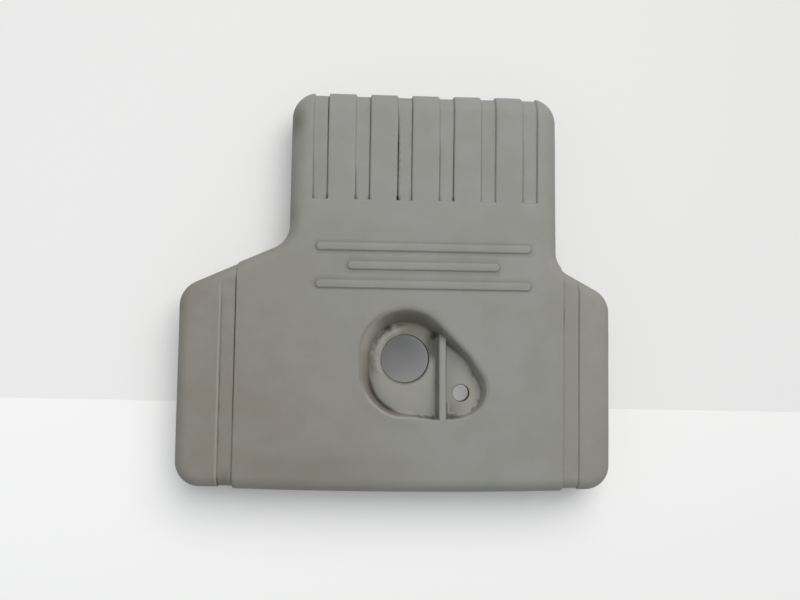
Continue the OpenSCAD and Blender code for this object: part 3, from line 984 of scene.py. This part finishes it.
def moulded_cover():
    """The whole moulding as one closed mesh, in metres."""
    bm = bmesh.new()
    bm.verts.layers.int.new("zone")
    bm.faces.layers.int.new("zone")
    bm.verts.layers.float_vector.new("inward")
    for name in MARKS:
        bm.verts.layers.float.new(name)

    rim_ring, face_ring, steps = outer_skin(bm)
    floor_ring, mouth_ring, pocket_steps = pocket_hollow(bm)
    down = Vector((0, 0, -1))
    flat_sheet(bm, face_ring, [mouth_ring], COVER_H, 5.0, SKIN, down, bar_ridges())
    filler_top, filler_foot = opening(bm, FILLER, FILLER_R, 96)
    dipstick_top, dipstick_foot = opening(bm, DIPSTICK, DIPSTICK_R, 48)
    flat_sheet(bm, floor_ring, [filler_top, dipstick_top], FLOOR_Z, 1.7, POCKET)
    underside(bm, rim_ring, steps, pocket_steps, [filler_foot, dipstick_foot])

    other_way = [-s for s in STEP_CUTS]
    score(bm, SKIN, ALONG, GROOVE_END, STEP_CUTS + (2.6, 4.2, 6.5), above=GROOVE_END - 12)
    for middle in GROOVES:
        score(bm, SKIN, ACROSS, middle - GROOVE_W / 2, STEP_CUTS, above=GROOVE_END - 2)
        score(bm, SKIN, ACROSS, middle + GROOVE_W / 2, other_way, above=GROOVE_END - 2)
    score(bm, SKIN, ACROSS, BAND_LEFT[0], STEP_CUTS + (-3.0,))
    score(bm, SKIN, ACROSS, BAND_LEFT[1], other_way)
    score(bm, SKIN, ACROSS, BAND_RIGHT[0], STEP_CUTS)
    score(bm, SKIN, ACROSS, BAND_RIGHT[1], other_way)
    for side, radius, lean in (
        (-1, RIB_R_FILLER, RIB_LEAN_FILLER),
        (1, RIB_R_DIPSTICK, RIB_LEAN_DIPSTICK),
    ):
        cuts = [RIB_W / 2 - radius * t for t in (1, 0.7, 0.45, 0.25, 0.1, 0)]
        cuts += [RIB_W / 2 + lean * t for t in (0.3, 0.6, 0.85, 1)]
        cuts += [RIB_W / 2 + lean + t for t in (0.3, 0.7, RIB_FOOT_RUN)]
        score(bm, POCKET, ACROSS, RIB_X, [side * c for c in cuts])

    shape_skin(bm)
    shape_pocket(bm)
    bmesh.ops.triangulate(bm, faces=bm.faces[:], quad_method="BEAUTY", ngon_method="BEAUTY")
    bmesh.ops.recalc_face_normals(bm, faces=bm.faces[:])
    for f in bm.faces:
        f.smooth = True
    open_edges = sum(1 for e in bm.edges if len(e.link_faces) != 2)
    print("cover:", len(bm.faces), "triangles,", open_edges, "open edges")
    bmesh.ops.scale(bm, vec=(MM, MM, MM), verts=bm.verts[:])
    mesh = bpy.data.meshes.new("engine_cover_moulding")
    bm.to_mesh(mesh)
    bm.free()
    return mesh


# Materials

def linear(code):
    """An sRGB hex colour as linear values for a socket."""
    parts = [int(code[k : k + 2], 16) / 255 for k in (1, 3, 5)]
    parts = [c / 12.92 if c <= 0.04045 else ((c + 0.055) / 1.055) ** 2.4 for c in parts]
    return (*parts, 1.0)


def add(tree, kind, settings=None, out=0, **inputs):
    """Adds a node with its settings and links, and gives one of its outputs.
    An input is named, or numbered after an underscore; it takes a value or another output."""
    node = tree.nodes.new(kind)
    for name, value in (settings or {}).items():
        setattr(node, name, value)
    for name, value in inputs.items():
        key = int(name[1:]) if name[0] == "_" else name.replace("_", " ")
        if isinstance(value, bpy.types.NodeSocket):
            tree.links.new(value, node.inputs[key])
        else:
            node.inputs[key].default_value = value
    return node.outputs[out] if len(node.outputs) else None


def new_material(name):
    material = bpy.data.materials.new(name)
    material.use_nodes = True
    material.node_tree.nodes.clear()
    return material, material.node_tree


SMOOTH = {"interpolation_type": "SMOOTHSTEP"}
TIMES = {"operation": "MULTIPLY"}
LARGER = {"operation": "MAXIMUM"}
OVER = {"data_type": "RGBA"}
TINT = {"data_type": "RGBA", "blend_type": "MULTIPLY"}


def moulded_foam():
    """Integral-skin polyurethane foam, moulded: a satin, closed skin with a fine leather-like
    grain, warm grey, that greys and browns with oil and dust and keeps dirt in its creases;
    shade is painted into its creases and hollows, and light onto some of its walls."""
    material, tree = new_material("integral_skin_pu_foam_moulded")
    place = add(tree, "ShaderNodeTexCoord", out="Object")
    x = add(tree, "ShaderNodeSeparateXYZ", _0=place)
    y = x.node.outputs[1]

    # Broad cloudy tone, in lumps of about 70 mm, a little cooler towards the right
    clouds = add(tree, "ShaderNodeTexNoise", Vector=place, Scale=1 / 0.07, Detail=3.0, Roughness=0.55)
    clouds = add(tree, "ShaderNodeMapRange", SMOOTH, Value=clouds, From_Min=0.35, From_Max=0.65)
    tone = add(tree, "ShaderNodeMix", OVER, out=2, _0=clouds, _6=linear("#84857f"), _7=linear("#888985"))
    cool = add(tree, "ShaderNodeTexNoise", Vector=place, Scale=1 / 0.045, Detail=2.0)
    cool = add(tree, "ShaderNodeMapRange", SMOOTH, Value=cool, From_Min=0.4, From_Max=0.62, To_Max=0.7)
    right = add(tree, "ShaderNodeMapRange", SMOOTH, Value=x, From_Min=-0.06, From_Max=0.12)
    cool = add(tree, "ShaderNodeMath", TIMES, _0=cool, _1=right)
    tone = add(tree, "ShaderNodeMix", OVER, out=2, _0=cool, _6=tone, _7=linear("#898988"))

    # Brown road film towards the left wing's foot, in lumps of about 40 mm; on the right wing the same
    # darkening is painted shade
    aslant = add(tree, "ShaderNodeMath", {"operation": "MULTIPLY_ADD"}, _0=y, _1=0.6, _2=x)
    where = add(tree, "ShaderNodeMapRange", SMOOTH, Value=aslant, From_Min=0.0, From_Max=-0.25)
    wing = add(tree, "ShaderNodeMapRange", SMOOTH, Value=x, From_Min=0.13, From_Max=0.2, To_Max=0.45)
    where = add(tree, "ShaderNodeMath", LARGER, _0=where, _1=wing)
    film_and_shade = add(tree, "ShaderNodeTexNoise", Vector=place, Scale=1 / 0.04, Detail=4.0, Roughness=0.6)
    film_and_shade = add(
        tree, "ShaderNodeMapRange", SMOOTH, Value=film_and_shade,
        From_Min=0.25, From_Max=0.7, To_Min=0.4, To_Max=0.8,
    )
    film_and_shade = add(tree, "ShaderNodeMath", TIMES, _0=film_and_shade, _1=where)
    tone = add(tree, "ShaderNodeMix", OVER, out=2, _0=film_and_shade, _6=tone, _7=linear("#7f7970"))

    # Olive grime and painted shade on the pocket's walls, brown stain, pale scuffs and painted light,
    # and dark soil and painted shade in the creases
    grime_and_shade = add(tree, "ShaderNodeAttribute", {"attribute_name": "grime_and_shade"}, out="Fac")
    grime_and_shade = add(tree, "ShaderNodeMath", TIMES, _0=grime_and_shade, _1=0.75)
    tone = add(tree, "ShaderNodeMix", OVER, out=2, _0=grime_and_shade, _6=tone, _7=linear("#5c5a4a"))
    stain = add(tree, "ShaderNodeAttribute", {"attribute_name": "stain"}, out="Fac")
    tone = add(tree, "ShaderNodeMix", OVER, out=2, _0=stain, _6=tone, _7=linear("#716458"))
    scuff_and_light = add(tree, "ShaderNodeAttribute", {"attribute_name": "scuff_and_light"}, out="Fac")
    tone = add(tree, "ShaderNodeMix", OVER, out=2, _0=scuff_and_light, _6=tone, _7=linear("#9d9c94"))
    soil_and_shade = add(tree, "ShaderNodeAttribute", {"attribute_name": "soil_and_shade"}, out="Fac")
    tone = add(tree, "ShaderNodeMix", OVER, out=2, _0=soil_and_shade, _6=tone, _7=linear("#2b2822"))

    # Grain: the real cells are about 0.5 mm; here they are 1.6 mm, so that they show
    cells = add(
        tree, "ShaderNodeTexVoronoi", {"feature": "SMOOTH_F1"},
        Vector=place, Scale=1 / 0.0016, Smoothness=0.6,
    )
    fine = add(tree, "ShaderNodeTexNoise", Vector=place, Scale=1 / 0.0011, Detail=2.0)
    height = add(tree, "ShaderNodeMath", {"operation": "ADD"}, _0=cells, _1=fine)
    bump = add(tree, "ShaderNodeBump", Strength=0.35, Distance=0.00006, Height=height)
    speck = add(
        tree, "ShaderNodeMapRange", Value=fine, From_Min=0.3, From_Max=0.7, To_Min=0.965, To_Max=1.035
    )
    tone = add(tree, "ShaderNodeMix", TINT, out=2, _0=1.0, _6=tone, _7=speck)

    # The skin is satin where it is rubbed and duller between, in lumps of about 20 mm
    worn = add(tree, "ShaderNodeTexNoise", Vector=place, Scale=1 / 0.02, Detail=3.0)
    rough = add(
        tree, "ShaderNodeMapRange", Value=worn, From_Min=0.3, From_Max=0.7, To_Min=0.58, To_Max=0.72
    )
    shader = add(
        tree,
        "ShaderNodeBsdfPrincipled",
        Base_Color=tone,
        Roughness=rough,
        IOR=1.48,
        Specular_IOR_Level=0.35,
        Normal=bump,
    )
    add(tree, "ShaderNodeOutputMaterial", Surface=shader)
    return material


# Where the camera sees the board through the filler opening, in metres: the middle of the painted shade
# there
BOARD_SHADE = (-0.014, -0.068, 0)


def pale_board(name, colour):
    """A matt pale board, with painted light that falls off to the right and far, and painted shade
    under the filler opening. The camera sees a little of it by its own light, most under the opening."""
    material, tree = new_material(name)
    place = add(tree, "ShaderNodeTexCoord", out="Object")
    across = add(tree, "ShaderNodeSeparateXYZ", _0=place)
    up = across.node.outputs[1]
    # Painted light: palest at the left and near, darker to the right and far
    fall = add(
        tree, "ShaderNodeMapRange", Value=across,
        From_Min=-0.45, From_Max=0.45, To_Min=1.0, To_Max=0.88,
    )
    far = add(
        tree, "ShaderNodeMapRange", Value=up, From_Min=-0.13, From_Max=0.4, To_Min=1.0, To_Max=0.9
    )
    fall = add(tree, "ShaderNodeMath", TIMES, _0=fall, _1=far)
    offset = add(tree, "ShaderNodeVectorMath", {"operation": "SUBTRACT"}, _0=place, _1=BOARD_SHADE)
    reach = add(tree, "ShaderNodeVectorMath", {"operation": "LENGTH"}, out="Value", _0=offset)
    # Painted shade under the filler opening
    shade = add(
        tree, "ShaderNodeMapRange", SMOOTH, Value=reach,
        From_Min=0.02, From_Max=0.12, To_Min=0.3, To_Max=1.0,
    )
    under = add(
        tree, "ShaderNodeMapRange", SMOOTH, Value=reach,
        From_Min=0.08, From_Max=0.15, To_Min=0.5, To_Max=0.08,
    )
    dim = add(tree, "ShaderNodeMath", TIMES, _0=fall, _1=shade)
    paint = add(tree, "ShaderNodeMix", TINT, out=2, _0=1.0, _6=linear(colour), _7=dim)
    camera_ray = add(tree, "ShaderNodeLightPath", out="Is Camera Ray")
    seen = camera_ray.node.outputs
    any_ray = add(tree, "ShaderNodeMath", LARGER, _0=camera_ray, _1=seen["Is Glossy Ray"])
    any_ray = add(tree, "ShaderNodeMath", LARGER, _0=any_ray, _1=seen["Is Transmission Ray"])
    share = add(tree, "ShaderNodeMath", TIMES, _0=any_ray, _1=under)
    matt = add(tree, "ShaderNodeBsdfDiffuse", Color=paint)
    glow = add(tree, "ShaderNodeEmission", Color=paint, Strength=1.0)
    both = add(tree, "ShaderNodeMixShader", _0=share, _1=matt, _2=glow)
    add(tree, "ShaderNodeOutputMaterial", Surface=both)
    return material


# Stage, in metres: how far the boards reach, and the seam where they meet
BOARD_REACH = 4
SEAM_Y = -0.1278
SEAM_SLOPE = -0.0063

# Lens and distance of the camera, and the point on the face that it looks at
CAMERA_LENS = 36
CAMERA_DISTANCE = 0.856
CAMERA_AIM = (3.3, -11.75, COVER_H)


def level_board(name, low, high, material):
    """A level board on the plane of the cover's rim, between two distances from the seam.
    The seam runs a little down to the right, as the boards meet in the photograph."""
    mesh = bpy.data.meshes.new(name)
    edges = [(-BOARD_REACH, low), (BOARD_REACH, low), (BOARD_REACH, high), (-BOARD_REACH, high)]
    corners = [(x, y + SEAM_Y + SEAM_SLOPE * x, 0) for x, y in edges]
    mesh.from_pydata(corners, [], [(0, 1, 2, 3)])
    mesh.materials.append(material)
    board = bpy.data.objects.new(name, mesh)
    bpy.context.scene.collection.objects.link(board)


def soft_light(name, place, size, power, colour):
    """A large square lamp that points at the cover."""
    data = bpy.data.lights.new(name, "AREA")
    data.size = size
    data.energy = power
    data.color = linear(colour)[:3]
    lamp = bpy.data.objects.new(name, data)
    bpy.context.scene.collection.objects.link(lamp)
    lamp.location = place
    lamp.rotation_euler = (-Vector(place)).to_track_quat("-Z", "Y").to_euler()


# Cover
cover = bpy.data.objects.new("engine_cover_moulding", moulded_cover())
bpy.context.scene.collection.objects.link(cover)
cover.data.materials.append(moulded_foam())
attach(cover, "root")
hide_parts("engine_cover")

# Floor: two pale boards that meet below the shoulders
level_board("table", -BOARD_REACH, 0, pale_board("white_laminate", "#fafbfb"))
# The back board is a little darker than the table: painted shade, as on an upright backdrop
level_board("back_board", 0, BOARD_REACH, pale_board("back_board_painted_shade", "#eff0f0"))

# Soft light from above the neck and a little from the right
soft_light("window_light", (0.62, 1.3, 2.4), 2.4, 72, "#fffdf8")
world = bpy.data.worlds.new("room")
bpy.context.scene.world = world
world.use_nodes = True
background = world.node_tree.nodes["Background"]
background.inputs["Color"].default_value = linear("#f4f7fb")
background.inputs["Strength"].default_value = 0.45

# Camera: above the face, a little to the left and below its middle
camera_data = bpy.data.cameras.new("camera")
camera_data.sensor_width = 36
camera_data.lens = CAMERA_LENS
camera = bpy.data.objects.new("camera", camera_data)
bpy.context.scene.collection.objects.link(camera)
aim = Vector(CAMERA_AIM) * MM
tilt = Matrix.Rotation(radians(3.45), 4, "X") @ Matrix.Rotation(radians(-2.38), 4, "Y")
roll = Matrix.Rotation(radians(0.99), 4, "Z")
away = Matrix.Translation((0, 0, CAMERA_DISTANCE))
camera.matrix_world = Matrix.Translation(aim) @ tilt @ roll @ away
bpy.context.scene.camera = camera
bpy.context.scene.view_settings.view_transform = "Standard"
